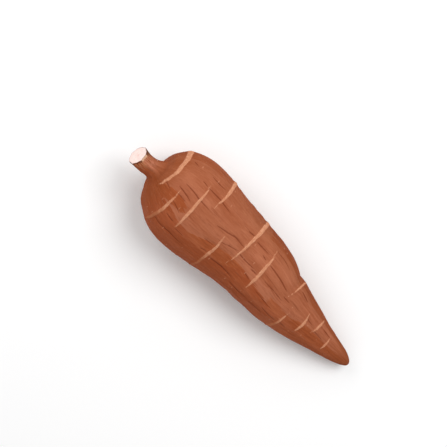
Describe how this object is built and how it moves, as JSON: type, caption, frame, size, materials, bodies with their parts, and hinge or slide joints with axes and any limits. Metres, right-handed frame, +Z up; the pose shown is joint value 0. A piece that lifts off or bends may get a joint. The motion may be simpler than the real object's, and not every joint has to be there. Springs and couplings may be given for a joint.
{
  "type": "cassava root",
  "caption": "Whole cassava root, trimmed from its stem: a short cut neck, a round shoulder and a fat banded body that tapers to a blunt tip.",
  "frame": {"origin": "centre of the base of the bounding box, on the surface that the root lies on", "axes": "+X along the root from the cut neck to the tip, +Z up as it lies, +Y across it"},
  "size_m": [0.2964, 0.0894, 0.0831],
  "materials": {
    "bark": "dry reddish brown bark with raised tan corky bands, fine dark creases, and a pale pink cut at the neck"
  },
  "bodies": {
    "root": {"cassava_root": "bark"}
  },
  "joints": []
}
